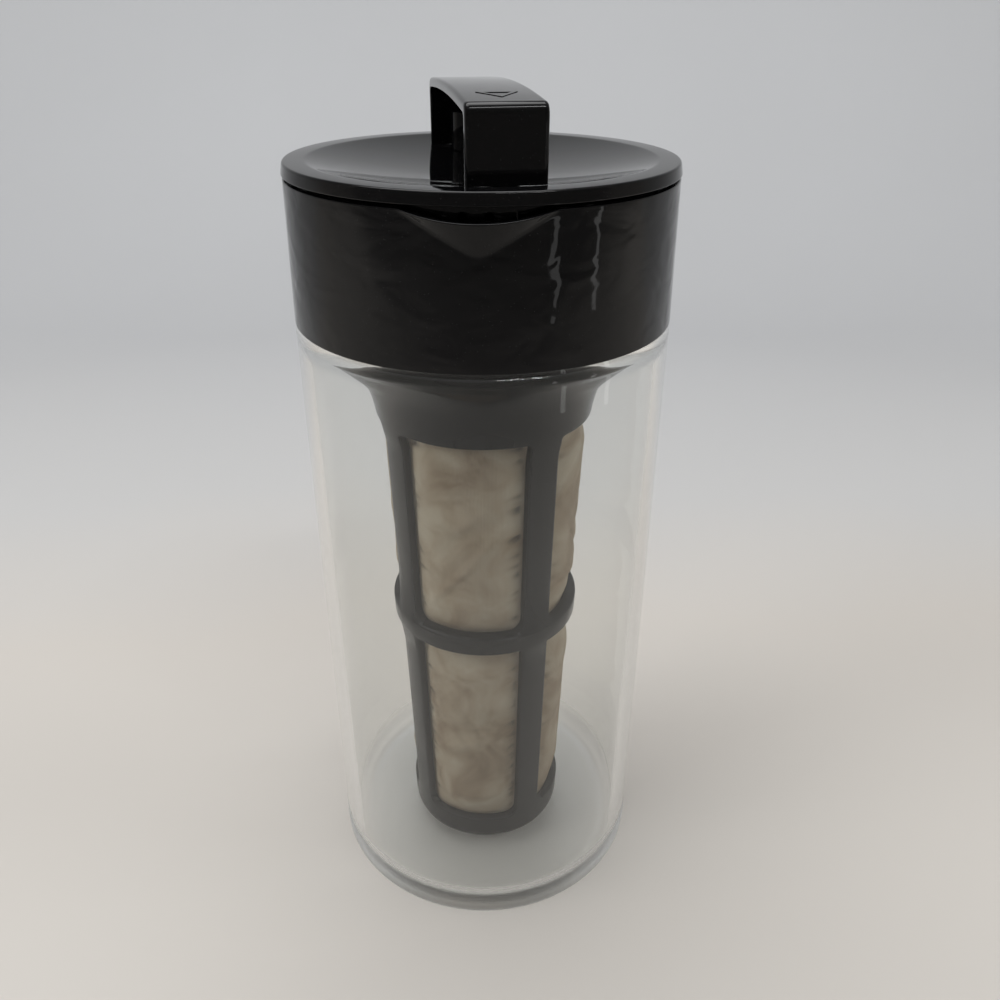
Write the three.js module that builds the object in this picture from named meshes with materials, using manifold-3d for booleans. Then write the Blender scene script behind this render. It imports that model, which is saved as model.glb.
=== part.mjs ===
// A cold brew coffee maker: a glass carafe, a collar with a pouring spout, a lift-out filter and a
// lid that turns in the collar. Millimetres, +Z up. It stands on Z = 0, its axis is Z, and the
// spout faces -Y. Angles are measured from the spout towards +X.
import * as THREE from "three";
import { mergeVertices } from "three/addons/utils/BufferGeometryUtils.js";
import Module from "manifold-3d";

const wasm = await Module();
wasm.setup();

// Clearances, and how far a cut runs past what it cuts.
const gap = 0.3;
const overrun = 4;

// How finely round shapes are stepped: outside, in the filter, out of sight, and at corners.
const roundSteps = 64;
const filterSteps = 48;
const hiddenSteps = 40;
const cornerSteps = 3;

// The carafe body, and the narrower neck that the collar covers.
const glass = {
  radius: 55.9,
  wall: 3,
  floor: 5,
  footRound: 3,
  floorRound: 8,
  shoulderHeight: 205,
  shoulderRound: 1,
  shoulderThickness: 5,
  neckWall: 2.5,
  rimRound: 0.8,
};

// The soft ring between the glass rim and the collar's ledge.
const gasket = {
  thickness: 2,
  inset: 0.2,
};

// The collar round the neck, and how far it stands above the glass rim.
const collar = {
  height: 39.7,
  headroom: 19,
  draft: 0.6,
  skirtWall: 1.8,
  boreWall: 2.1,
  ledgeThickness: 1.8,
  ledgeSetback: 0.3,
  edgeChamfer: 0.4,
};

// The spout: a V on the collar's wall that leans out to a rounded lip.
const spout = {
  angle: THREE.MathUtils.degToRad(20),
  apexDrop: 10.2,
  apexRound: THREE.MathUtils.degToRad(2),
  reach: 3.3,
  lipDip: 2.2,
  wall: 2,
  channelRise: 3.2,
  steps: 12,
};

// The filter: a sleeve in the neck, a trumpet funnel, and a tapering cage.
const filter = {
  angle: THREE.MathUtils.degToRad(34.3),
  lipThickness: 1.8,
  sleeveBottom: 200,
  sleeveWall: 2,
  sleeveEdgeRound: 0.6,
  funnelBottom: 171,
  funnelRadius: 33.9,
  funnelWall: 2.4,
  cageTopRadius: 33.2,
  cageBottomRadius: 28.5,
  cageWall: 3,
  ribs: 4,
  ribWidth: 10.7,
  bottom: 7.8,
  floor: 3,
  cupHeight: 10.2,
  cupProud: 0.35,
  cupRound: 3,
  upperWindowTop: 174.4,
  windowRound: 3,
  ringTop: 105.4,
  ringHeight: 7,
  ringProud: 1.3,
  ringChamfer: 0.7,
};
// The trumpet's curve, as shares of the funnel's height and of its flare, from the bottom up.
const flareShares = [
  [0.14, 0.05],
  [0.28, 0.085],
  [0.41, 0.14],
  [0.55, 0.24],
  [0.66, 0.345],
  [0.78, 0.49],
  [0.9, 0.68],
];

// The mesh sleeve inside the cage, which bulges out into the windows.
const mesh = {
  thickness: 0.6,
  upperBulge: 3,
  lowerBulge: 2.4,
  topOverlap: 1.2,
  rows: 5,
};

// The lid's top disc, with its shallow dish.
const lid = {
  turn: THREE.MathUtils.degToRad(9.9),
  seam: 1,
  overhang: 0.3,
  edgeTaper: 0.6,
  edgeThickness: 3.3,
  edgeRound: 0.5,
  landWidth: 6,
  dishDepth: 5.8,
  bowlWall: 2.5,
};

// The arched strap handle that stands in the dish. Fingers go through it from side to side.
const handle = {
  endSetback: 9,
  width: 20.5,
  rise: 18.6,
  archRise: 1.3,
  endRound: 3,
  innerRound: 2,
  sideRound: 1.3,
  cornerRound: 1.2,
  wall: 2.6,
  bossRadius: 4.2,
  bossRise: 8,
  bossCap: 2,
  archSteps: 12,
};

// The skirt that goes into the collar, its soft ring, and the plate that closes the bowl.
const plug = {
  wall: 2.6,
  boreClearance: 1.6,
  grooveDepth: 1.2,
  grooveHeight: 3.6,
  grooveRise: 0.9,
  slots: 5,
  slotWidth: 2.2,
  slotRise: 1.6,
  slotHeight: 5.2,
  slotSpacing: THREE.MathUtils.degToRad(7),
};
const seal = {
  bodyProud: 0.1,
  finThickness: 0.8,
};
const coverPlate = {
  thickness: 1.6,
  edgeSetback: 5,
};
const screw = {
  shaftRadius: 1.7,
  headRadius: 3.4,
  headHeight: 1.6,
  tipLength: 1.5,
};

// Places that follow from the sizes, from the table up.
const neckOuter = glass.radius - collar.skirtWall - gap;
const neckBore = neckOuter - glass.neckWall;
const collarBottom = glass.shoulderHeight + gap;
const collarTop = collarBottom + collar.height;
const rimHeight = collarTop - collar.headroom;
const collarTopRadius = glass.radius - collar.draft;
const collarBore = collarTopRadius - collar.boreWall;
const gasketBottom = rimHeight + gap;
const ledgeBottom = gasketBottom + gasket.thickness + gap;
const ledgeTop = ledgeBottom + collar.ledgeThickness;
const ledgeBore = neckBore + collar.ledgeSetback;
const sleeveRadius = neckBore - gap;
const lipBottom = ledgeTop + gap;
const lipTop = lipBottom + filter.lipThickness;
const ringBottom = filter.ringTop - filter.ringHeight;
const cupTop = filter.bottom + filter.cupHeight;
const meshTop = filter.upperWindowTop + mesh.topOverlap;
const lidBottom = collarTop + lid.seam;
const lidTop = lidBottom + lid.edgeThickness;
const lidBottomRadius = collarTopRadius + lid.overhang;
const lidTopRadius = lidBottomRadius - lid.edgeTaper;
const dishRadius = lidTopRadius - lid.landWidth;
const dishFloor = lidTop - lid.dishDepth;
const bowlBottom = dishFloor - lid.bowlWall;
const underRadius = dishRadius * Math.sqrt(1 - (lid.edgeThickness - lid.bowlWall) / lid.dishDepth);
const handleTop = lidTop + handle.rise;
const handleLength = 2 * (dishRadius - handle.endSetback);
const bossPlace = handleLength / 2 - handle.wall / 2 - handle.bossRadius;
const bossTop = lidTop + handle.bossRise;
const screwLength = bossTop - handle.bossCap - gap - bowlBottom;
const plugOuter = collarBore - plug.boreClearance;
const plugInner = plugOuter - plug.wall;
const plugBottom = lipTop + gap;
const plugTop = lidBottom - gap;
const grooveBottom = plugBottom + plug.grooveRise;
const grooveTop = grooveBottom + plug.grooveHeight;

// The cage's outer and inner radius at a height.
function cageRadius(height) {
  const share = (height - filter.bottom) / (filter.funnelBottom - filter.bottom);
  return THREE.MathUtils.lerp(filter.cageBottomRadius, filter.cageTopRadius, share);
}
function cageInner(height) {
  return cageRadius(height) - filter.cageWall;
}

function solidOf(geometry) {
  const bare = geometry.clone();
  bare.deleteAttribute("normal");
  bare.deleteAttribute("uv");
  const merged = mergeVertices(bare);
  return new wasm.Manifold(
    new wasm.Mesh({
      numProp: 3,
      vertProperties: merged.attributes.position.array,
      triVerts: new Uint32Array(merged.index.array),
    }),
  );
}

function geometryOf(solid) {
  const made = solid.getMesh();
  const geometry = new THREE.BufferGeometry();
  geometry.setAttribute("position", new THREE.BufferAttribute(made.vertProperties, 3));
  geometry.setIndex(new THREE.BufferAttribute(made.triVerts, 1));
  return geometry;
}

// Turns [radius, height] points, in order from the bottom outwards and up, round the Z axis.
function turned(points, steps) {
  const profile = points.map(([radius, height]) => new THREE.Vector2(radius, height));
  return new THREE.LatheGeometry(profile, steps).rotateX(Math.PI / 2);
}

// The same for a profile that is a ring's section, which closes on its first point.
function turnedRing(points, steps) {
  return turned([...points, points[0]], steps);
}

// The point at an angle from the spout, a radius and a height.
function around(angle, radius, height) {
  return [radius * Math.sin(angle), -radius * Math.cos(angle), height];
}

// A ring whose section changes on the way round: sectionAt(angle) gives its [radius, height] points.
function changingRing(sectionAt, angles) {
  const positions = [];
  const triangles = [];
  const count = sectionAt(angles[0]).length;
  for (const angle of angles) {
    for (const [radius, height] of sectionAt(angle)) {
      positions.push(...around(angle, radius, height));
    }
  }
  for (let i = 0; i < angles.length; i += 1) {
    const next = (i + 1) % angles.length;
    for (let j = 0; j < count; j += 1) {
      const above = (j + 1) % count;
      const a = i * count + j;
      const b = i * count + above;
      const c = next * count + above;
      const d = next * count + j;
      triangles.push(a, d, c, a, c, b);
    }
  }
  const geometry = new THREE.BufferGeometry();
  geometry.setAttribute("position", new THREE.Float32BufferAttribute(positions, 3));
  geometry.setIndex(triangles);
  return geometry;
}

// Points of a rounded corner of a section, between two directions as angles.
function roundCorner(centre, radius, from, to) {
  const points = [];
  for (let i = 0; i <= cornerSteps; i += 1) {
    const angle = THREE.MathUtils.lerp(from, to, i / cornerSteps);
    points.push([centre[0] + radius * Math.cos(angle), centre[1] + radius * Math.sin(angle)]);
  }
  return points;
}

// The directions in a section: outwards is zero.
const down = -Math.PI / 2;
const out = 0;
const up = Math.PI / 2;

// A rectangle across x = 0 with rounded corners. Its top edge can rise in an arch to its middle.
function roundedShape(width, bottom, top, round, rise = 0) {
  const half = width / 2;
  const shape = new THREE.Shape();
  shape.moveTo(round - half, bottom);
  shape.lineTo(half - round, bottom);
  shape.quadraticCurveTo(half, bottom, half, bottom + round);
  shape.lineTo(half, top - round);
  shape.quadraticCurveTo(half, top, half - round, top);
  for (let i = 1; rise > 0 && i < handle.archSteps; i += 1) {
    const share = 1 - (2 * i) / handle.archSteps;
    shape.lineTo((half - round) * share, top + rise * (1 - share * share));
  }
  shape.lineTo(round - half, top);
  shape.quadraticCurveTo(-half, top, -half, top - round);
  shape.lineTo(-half, bottom + round);
  shape.quadraticCurveTo(-half, bottom, round - half, bottom);
  return shape;
}

function extruded(shape, depth) {
  return new THREE.ExtrudeGeometry(shape, { depth, bevelEnabled: false, curveSegments: cornerSteps });
}

function carafeGeometry() {
  const inner = glass.radius - glass.wall;
  const shoulder = glass.shoulderHeight;
  const round = glass.shoulderRound;
  const rim = glass.rimRound;
  const foot = glass.footRound;
  const bowl = glass.floorRound;
  return turned(
    [
      [0, 0],
      ...roundCorner([glass.radius - foot, foot], foot, down, out),
      ...roundCorner([glass.radius - round, shoulder - round], round, out, up),
      [neckOuter, shoulder],
      ...roundCorner([neckOuter - rim, rimHeight - rim], rim, out, up),
      [neckBore, rimHeight],
      [neckBore, shoulder],
      [inner, shoulder - glass.shoulderThickness],
      ...roundCorner([inner - bowl, glass.floor + bowl], bowl, out, down),
      [0, glass.floor],
    ],
    roundSteps,
  );
}

function gasketGeometry() {
  const outer = neckOuter - gasket.inset;
  const top = gasketBottom + gasket.thickness;
  return turnedRing(
    [
      [ledgeBore, gasketBottom],
      [outer, gasketBottom],
      [outer, top],
      [ledgeBore, top],
    ],
    hiddenSteps,
  );
}

// The collar's outer radius at a height, on its wall away from the spout.
function collarRadius(height) {
  const share = (height - collarBottom) / collar.height;
  return THREE.MathUtils.lerp(glass.radius, collarTopRadius, share);
}

// The collar's section at an angle. Inside the spout the wall leans out above the V.
function collarSection(angle) {
  const share = Math.min(Math.abs(angle) / spout.angle, 1);
  const reach = spout.reach * (1 - share * share);
  const lipHeight = collarTop - spout.lipDip * (1 - share * share);
  const roundShare = spout.apexRound / spout.angle;
  const climb = (Math.hypot(share, roundShare) - roundShare) / (Math.hypot(1, roundShare) - roundShare);
  const foldHeight = Math.min(
    collarTop - spout.apexDrop * (1 - climb),
    lipHeight - collar.edgeChamfer * 2,
  );
  const lipRadius = collarTopRadius + reach;
  const channelHeight = Math.min(foldHeight + spout.channelRise, lipHeight - collar.edgeChamfer);
  const skirtInner = neckOuter + gap;
  return [
    [skirtInner, collarBottom],
    [glass.radius - collar.edgeChamfer, collarBottom],
    [glass.radius, collarBottom + collar.edgeChamfer],
    [collarRadius(foldHeight), foldHeight],
    [lipRadius, lipHeight - collar.edgeChamfer],
    [lipRadius - collar.edgeChamfer, lipHeight],
    [lipRadius - spout.wall, lipHeight],
    [collarBore, channelHeight],
    [collarBore, ledgeTop],
    [ledgeBore, ledgeTop],
    [ledgeBore, ledgeBottom],
    [skirtInner, ledgeBottom],
  ];
}

// Angles right round, closer together across the spout.
function collarAngles() {
  const angles = [];
  for (let i = -spout.steps; i <= spout.steps; i += 1) {
    angles.push((spout.angle * i) / spout.steps);
  }
  const rest = 2 * Math.PI - 2 * spout.angle;
  const restSteps = Math.round((roundSteps * rest) / (2 * Math.PI));
  for (let i = 1; i < restSteps; i += 1) {
    angles.push(spout.angle + (rest * i) / restSteps);
  }
  return angles;
}

function collarGeometry() {
  const wrapped = (angle) => (angle > Math.PI ? angle - 2 * Math.PI : angle);
  return changingRing((angle) => collarSection(wrapped(angle)), collarAngles());
}

// The trumpet between the cage and the sleeve, moved in by a wall's thickness where asked.
function flare(inset) {
  const height = filter.sleeveBottom - filter.funnelBottom;
  const width = sleeveRadius - filter.funnelRadius;
  return flareShares.map(([rise, spread]) => [
    filter.funnelRadius + width * spread - inset,
    filter.funnelBottom + height * rise,
  ]);
}

function filterShellGeometry() {
  const ring = cageRadius(filter.ringTop) + filter.ringProud;
  const cup = cageRadius(cupTop) + filter.cupProud;
  const edge = filter.sleeveEdgeRound;
  const lipRadius = collarBore - gap;
  const sleeveInner = sleeveRadius - filter.sleeveWall;
  const stopHeight = meshTop + gap;
  const inside = flare(filter.funnelWall).filter(([, height]) => height > stopHeight);
  return turned(
    [
      [0, filter.bottom],
      ...roundCorner([cup - filter.cupRound, filter.bottom + filter.cupRound], filter.cupRound, down, out),
      [cup, cupTop - filter.cupProud],
      [cageRadius(cupTop), cupTop],
      [cageRadius(ringBottom), ringBottom],
      [ring, ringBottom + filter.ringChamfer],
      [ring, filter.ringTop - filter.ringChamfer],
      [cageRadius(filter.ringTop), filter.ringTop],
      [filter.cageTopRadius, filter.funnelBottom - filter.cageWall],
      [filter.funnelRadius, filter.funnelBottom],
      ...flare(0),
      [sleeveRadius - edge, filter.sleeveBottom],
      [sleeveRadius, filter.sleeveBottom + edge],
      [sleeveRadius, lipBottom],
      [lipRadius, lipBottom],
      [lipRadius, lipTop],
      [sleeveInner, lipTop],
      [sleeveInner, filter.sleeveBottom + filter.sleeveWall],
      ...inside.reverse(),
      [cageInner(stopHeight), stopHeight],
      [cageInner(filter.bottom + filter.floor), filter.bottom + filter.floor],
      [0, filter.bottom + filter.floor],
    ],
    filterSteps,
  );
}

// Half the angle of a window at a height, between ribs of one width.
function windowHalfAngle(height) {
  return Math.PI / filter.ribs - Math.asin(filter.ribWidth / 2 / cageRadius(height));
}

// A cutter for one window: a rounded rectangle bent round the axis, from inside the cage to outside.
function windowCutter(angle, bottom, top) {
  const half = filter.cageTopRadius * windowHalfAngle(top);
  const geometry = extruded(roundedShape(2 * half, bottom, top, filter.windowRound), filter.cageTopRadius);
  const innerRadius = filter.cageBottomRadius / 2;
  const places = geometry.attributes.position;
  for (let i = 0; i < places.count; i += 1) {
    const height = places.getY(i);
    const turn = angle + (places.getX(i) / half) * windowHalfAngle(height);
    places.setXYZ(i, ...around(turn, innerRadius + places.getZ(i), height));
  }
  return geometry;
}

function filterFrameGeometry() {
  let frame = solidOf(filterShellGeometry());
  for (let i = 0; i < filter.ribs; i += 1) {
    const angle = filter.angle + ((i + 1 / 2) * 2 * Math.PI) / filter.ribs;
    frame = frame.subtract(solidOf(windowCutter(angle, filter.ringTop, filter.upperWindowTop)));
    frame = frame.subtract(solidOf(windowCutter(angle, cupTop, ringBottom)));
  }
  return geometryOf(frame);
}

// How far the mesh stands out into a window: most at its middle, none at its edges.
function bulge(angle, height) {
  const upper = height > ringBottom;
  const bottom = upper ? filter.ringTop : cupTop;
  const top = upper ? filter.upperWindowTop : ringBottom;
  const climb = (height - bottom) / (top - bottom);
  if (climb <= 0 || climb >= 1) {
    return 0;
  }
  const step = (2 * Math.PI) / filter.ribs;
  const offset = THREE.MathUtils.euclideanModulo(angle - filter.angle, step) - step / 2;
  const across = Math.abs(offset) / windowHalfAngle(height);
  if (across >= 1) {
    return 0;
  }
  const most = upper ? mesh.upperBulge : mesh.lowerBulge;
  return most * Math.cos((across * Math.PI) / 2) * Math.sqrt(Math.sin(climb * Math.PI));
}

// The heights of the sleeve's rows, up through both windows.
function meshHeights() {
  const heights = [filter.bottom + filter.floor + gap];
  for (const [bottom, top] of [
    [cupTop, ringBottom],
    [filter.ringTop, filter.upperWindowTop],
  ]) {
    for (let i = 0; i <= mesh.rows; i += 1) {
      heights.push(THREE.MathUtils.lerp(bottom, top, i / mesh.rows));
    }
  }
  heights.push(meshTop);
  return heights;
}

function meshGeometry() {
  const heights = meshHeights();
  const outer = (angle, height) => cageInner(height) - gap + bulge(angle, height);
  const section = (angle) => {
    const outside = heights.map((height) => [outer(angle, height), height]);
    const inside = heights.map((height) => [outer(angle, height) - mesh.thickness, height]);
    return [...outside, ...inside.reverse()];
  };
  const angles = [];
  for (let i = 0; i < filterSteps; i += 1) {
    angles.push(filter.angle + (2 * Math.PI * i) / filterSteps);
  }
  return changingRing(section, angles);
}

// The dish's height at a radius: a shallow bowl that runs up to the land.
function dishHeight(radius) {
  const share = radius / dishRadius;
  return lidTop - lid.dishDepth * (1 - share * share);
}

// The dish's curve from the axis out to a radius, raised by a distance.
function dishCurve(reach, raise) {
  const points = [];
  const steps = cornerSteps * cornerSteps;
  for (let i = 0; i <= steps; i += 1) {
    const radius = (reach * i) / steps;
    points.push([radius, dishHeight(radius) + raise]);
  }
  return points;
}

// The screws' places along the handle, and an upright post at one of them.
const screwPlaces = [-bossPlace, bossPlace];
function postSolid(place, bottom, top) {
  const radius = handle.bossRadius;
  const post = new THREE.CylinderGeometry(radius, radius, top - bottom, hiddenSteps / 2);
  return solidOf(post.rotateX(Math.PI / 2).translate(0, place, (bottom + top) / 2));
}

// A screw's own shape grown by a clearance, upright with its head's underside at height zero.
function screwGeometry(grow, length) {
  const shaft = screw.shaftRadius + grow;
  const head = screw.headRadius + grow;
  return turned(
    [
      [0, 0],
      [head, 0],
      [shaft, screw.headHeight + grow],
      [shaft, length - screw.tipLength],
      [shaft / 2, length],
      [0, length],
    ],
    hiddenSteps / 2,
  );
}

function discGeometry() {
  const round = lid.edgeRound;
  let disc = solidOf(
    turned(
      [
        ...dishCurve(underRadius, -lid.bowlWall),
        [lidBottomRadius, lidBottom],
        ...roundCorner([lidTopRadius - round, lidTop - round], round, out, up),
        ...dishCurve(dishRadius, 0).reverse(),
      ],
      roundSteps,
    ),
  );
  for (const place of screwPlaces) {
    const padTop = dishHeight(bossPlace) - lid.bowlWall / 2;
    const hole = screwGeometry(gap, screwLength).translate(0, place, bowlBottom);
    disc = disc.add(postSolid(place, bowlBottom, padTop)).subtract(solidOf(hole));
  }
  return geometryOf(disc);
}

// A shape across Y = 0, upright, extruded along X.
function acrossY(shape, width) {
  const made = extruded(shape, width);
  return solidOf(made.translate(0, 0, -width / 2).rotateX(Math.PI / 2).rotateZ(Math.PI / 2));
}

// The handle's bar with all its outer edges rounded, as what its three outlines have in common.
function barSolid() {
  const { width, archRise, endRound, sideRound, cornerRound } = handle;
  const low = bowlBottom - overrun;
  const side = roundedShape(handleLength, low, handleTop - archRise, endRound, archRise);
  const front = extruded(roundedShape(width, low, handleTop, sideRound), handleLength + overrun);
  front.translate(0, 0, -(handleLength + overrun) / 2).rotateX(Math.PI / 2);
  const plan = extruded(
    roundedShape(width, -handleLength / 2, handleLength / 2, cornerRound),
    handleTop - bowlBottom + overrun,
  );
  plan.translate(0, 0, bowlBottom);
  return acrossY(side, width + overrun).intersect(solidOf(front)).intersect(solidOf(plan));
}

// The bar with the finger gap through it, its legs cut to the dish they stand on.
function handleGeometry() {
  const { wall, width, archRise, innerRound } = handle;
  const fingerGap = roundedShape(
    handleLength - 2 * wall,
    bowlBottom - overrun,
    handleTop - archRise - wall,
    innerRound,
    archRise,
  );
  let arch = barSolid().subtract(acrossY(fingerGap, width + overrun));
  for (const place of screwPlaces) {
    const hole = screwGeometry(gap, screwLength + gap).translate(0, place, bowlBottom);
    arch = arch.add(postSolid(place, bowlBottom, bossTop)).subtract(solidOf(hole));
  }
  const underfoot = turned(
    [[0, bowlBottom - overrun], [dishRadius, bowlBottom - overrun], ...dishCurve(dishRadius, gap).reverse()],
    roundSteps,
  );
  return geometryOf(arch.subtract(solidOf(underfoot)));
}

function plugGeometry() {
  const groove = plugOuter - plug.grooveDepth;
  let skirt = solidOf(
    turnedRing(
      [
        [plugInner, plugBottom],
        [plugOuter, plugBottom],
        [plugOuter, grooveBottom],
        [groove, grooveBottom],
        [groove, grooveTop],
        [plugOuter, grooveTop],
        [plugOuter, plugTop],
        [plugInner, plugTop],
      ],
      hiddenSteps,
    ),
  );
  for (let i = 0; i < plug.slots; i += 1) {
    const slot = new THREE.BoxGeometry(plug.slotWidth, plug.wall + overrun, plug.slotHeight);
    slot.translate(0, -(plugInner + plugOuter) / 2, grooveTop + plug.slotRise + plug.slotHeight / 2);
    slot.rotateZ(plug.slotSpacing * (i - (plug.slots - 1) / 2));
    skirt = skirt.subtract(solidOf(slot));
  }
  return geometryOf(skirt);
}

function sealGeometry() {
  const inner = plugOuter - plug.grooveDepth + gap;
  const body = plugOuter + seal.bodyProud;
  const outer = collarBore - gap;
  const bottom = grooveBottom + gap;
  const top = grooveTop - gap;
  const fin = seal.finThickness;
  return turnedRing(
    [
      [inner, bottom],
      [outer, bottom],
      [outer, bottom + fin],
      [body, bottom + fin],
      [body, top - fin],
      [outer, top - fin],
      [outer, top],
      [inner, top],
    ],
    hiddenSteps,
  );
}

function coverPlateGeometry() {
  const radius = plugInner - coverPlate.edgeSetback;
  const plate = new THREE.CylinderGeometry(radius, radius, coverPlate.thickness, hiddenSteps);
  return plate.rotateX(Math.PI / 2).translate(0, 0, bowlBottom - gap - coverPlate.thickness / 2);
}

function material(color, roughness, metalness = 0) {
  return new THREE.MeshStandardMaterial({ color, roughness, metalness });
}

const clearGlass = material(0xdfe6e6, 0.05);
clearGlass.transparent = true;
clearGlass.opacity = 0.35;
const glossBlack = material(0x0a0a0b, 0.12);
const satinGrey = material(0x3a3a3c, 0.4);
const meshCloth = material(0xa39882, 0.8);
const softGrey = material(0x6a6c6e, 0.7);
const steel = material(0xb9bcc0, 0.3, 1);

function add(group, name, geometry, finish) {
  const piece = new THREE.Mesh(geometry, finish);
  piece.name = name;
  group.add(piece);
  return piece;
}

const maker = new THREE.Group();
add(maker, "carafe_glass", carafeGeometry(), clearGlass);
add(maker, "rim_gasket", gasketGeometry(), softGrey);
add(maker, "collar", collarGeometry(), glossBlack);
add(maker, "filter_frame", filterFrameGeometry(), satinGrey);
add(maker, "filter_mesh", meshGeometry(), meshCloth);

// The lid turns as one, and stands a little past the spout.
const lidGroup = new THREE.Group();
lidGroup.rotation.z = lid.turn;
maker.add(lidGroup);
add(lidGroup, "lid_disc", discGeometry(), glossBlack);
add(lidGroup, "lid_handle", handleGeometry(), glossBlack);
add(lidGroup, "lid_cover_plate", coverPlateGeometry(), glossBlack);
add(lidGroup, "lid_plug", plugGeometry(), glossBlack);
add(lidGroup, "lid_seal", sealGeometry(), softGrey);
for (const [i, name] of ["handle_screw_front", "handle_screw_rear"].entries()) {
  add(lidGroup, name, screwGeometry(0, screwLength), steel).position.set(0, screwPlaces[i], bowlBottom);
}

export default maker;
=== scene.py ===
# %% [markdown]
# # A cold brew coffee maker
# A clear carafe with a gloss black collar and spout, a lift-out filter, and a lid with an arched
# handle. The solids come first, as a fixed frame, and this script dresses them. All sizes below are
# in millimetres and become metres when a mesh is made. The axis is Z and the spout faces -Y.

# %% Load the frame
import math
import random

import bmesh
import bpy
import numpy as np
from mathutils import Matrix, Vector


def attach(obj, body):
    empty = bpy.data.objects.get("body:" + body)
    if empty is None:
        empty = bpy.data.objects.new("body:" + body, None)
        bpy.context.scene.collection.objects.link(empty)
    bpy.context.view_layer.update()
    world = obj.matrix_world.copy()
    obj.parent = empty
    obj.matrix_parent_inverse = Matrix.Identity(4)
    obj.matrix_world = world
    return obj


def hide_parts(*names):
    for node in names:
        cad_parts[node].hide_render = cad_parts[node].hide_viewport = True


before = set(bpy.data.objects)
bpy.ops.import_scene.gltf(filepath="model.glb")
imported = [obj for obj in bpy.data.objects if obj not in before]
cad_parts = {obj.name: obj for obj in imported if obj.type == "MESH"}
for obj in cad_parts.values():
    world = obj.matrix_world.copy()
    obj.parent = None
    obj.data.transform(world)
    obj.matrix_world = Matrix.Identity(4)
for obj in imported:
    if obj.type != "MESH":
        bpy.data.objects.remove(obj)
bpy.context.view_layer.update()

MM = 0.001
print("nodes:", sorted(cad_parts))

# %% [markdown]
# ## Camera
# The photograph was taken from above at a steep angle with a wide lens, close to the object, so the
# carafe narrows strongly towards its foot. The camera stands where a fit to the round edges puts
# it.

# %% Camera
CAMERA_PLACE = Vector((5.32, -267.05, 287.45)) * MM
CAMERA_PITCH = math.radians(29.06)
CAMERA_ROLL = math.radians(0.2)

camera_data = bpy.data.cameras.new("camera")
camera_data.sensor_width = 36
camera_data.lens = 32.47
camera_data.clip_start = 0.01
camera = bpy.data.objects.new("camera", camera_data)
bpy.context.scene.collection.objects.link(camera)
camera.matrix_world = (
    Matrix.Translation(CAMERA_PLACE)
    @ Matrix.Rotation(math.pi / 2 - CAMERA_PITCH, 4, "X")
    @ Matrix.Rotation(CAMERA_ROLL, 4, "Z")
)
bpy.context.scene.camera = camera
bpy.context.scene.view_settings.view_transform = "Standard"
print("lens", camera_data.lens, "mm")

# %% [markdown]
# ## Studio
# The object stands on a pale floor that curves up into a round wall, so there is no horizon behind
# the glass from any side. Soft lamps give the broad light, two strips the sparkle on the handle and
# two narrow panes the thin lines on the collar. Gloss shows what is round it. Far in front of the
# object, where the camera stands, the paper is painted darker: painted shade standing in for a dark
# room, so the black collar stays black.

# %% Helpers for meshes and nodes
def place_object(name, data):
    """A new object in the scene, at the origin."""
    obj = bpy.data.objects.new(name, data)
    bpy.context.scene.collection.objects.link(obj)
    return obj


def link_mesh(name, vertices, faces, material=None):
    """A new smooth object from points in millimetres."""
    data = bpy.data.meshes.new(name)
    data.from_pydata([(x * MM, y * MM, z * MM) for x, y, z in vertices], [], faces)
    data.validate()
    data.update()
    data.shade_smooth()
    if material:
        data.materials.append(material)
    return place_object(name, data)


def ring_faces(low, high, count, flipped=False):
    """Faces between two rings of points, given the number of the first point in each."""
    faces = []
    for i in range(count):
        k = (i + 1) % count
        corners = (low + k, high + k, high + i) if flipped else (high + i, high + k, low + k)
        faces.append((low + i, *corners))
    return faces


def bake(obj):
    """The object's evaluated shape as its own plain mesh, with its modifiers gone."""
    graph = bpy.context.evaluated_depsgraph_get()
    made = bpy.data.meshes.new_from_object(obj.evaluated_get(graph), depsgraph=graph)
    obj.modifiers.clear()
    obj.data = made
    made.name = obj.name
    return obj


def around(angle, radius, height):
    """The point at an angle from the spout towards +X, a radius and a height."""
    return (radius * math.sin(angle), -radius * math.cos(angle), height)


def set_inputs(node, values):
    """Sets values for some of a node's inputs, by name or number."""
    for label, value in values.items():
        node.inputs[label].default_value = value


def add_node(nodes, kind, values=None, operation=None):
    """A new node, with values for some of its inputs."""
    node = nodes.new(kind)
    if operation:
        node.operation = operation
    set_inputs(node, values or {})
    return node


def colour_mix(nodes, values):
    """A node that mixes the colours A and B."""
    mix = nodes.new("ShaderNodeMix")
    mix.data_type = "RGBA"
    set_inputs(mix, values)
    return mix


def colour_ramp(nodes, *stops):
    """A ramp through (position, colour) stops, given from the lowest to the highest."""
    ramp = nodes.new("ShaderNodeValToRGB")
    elements = ramp.color_ramp.elements
    for end, (position, colour) in ((elements[0], stops[0]), (elements[1], stops[-1])):
        end.position, end.color = position, (*colour, 1)
    for position, colour in stops[1:-1]:
        elements.new(position).color = (*colour, 1)
    return ramp


def wire(links, *wires):
    """Links outputs to inputs. Each wire is a node, its output, the next node and its input."""
    for source, output, target, into in wires:
        links.new(source.outputs[output], target.inputs[into])


def new_material(name, values):
    """A material, its nodes and links, and its shader with values for some of its inputs."""
    material = bpy.data.materials.new(name)
    material.use_nodes = True
    nodes = material.node_tree.nodes
    shader = nodes["Principled BSDF"]
    set_inputs(shader, values)
    return material, nodes, material.node_tree.links, shader


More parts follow.
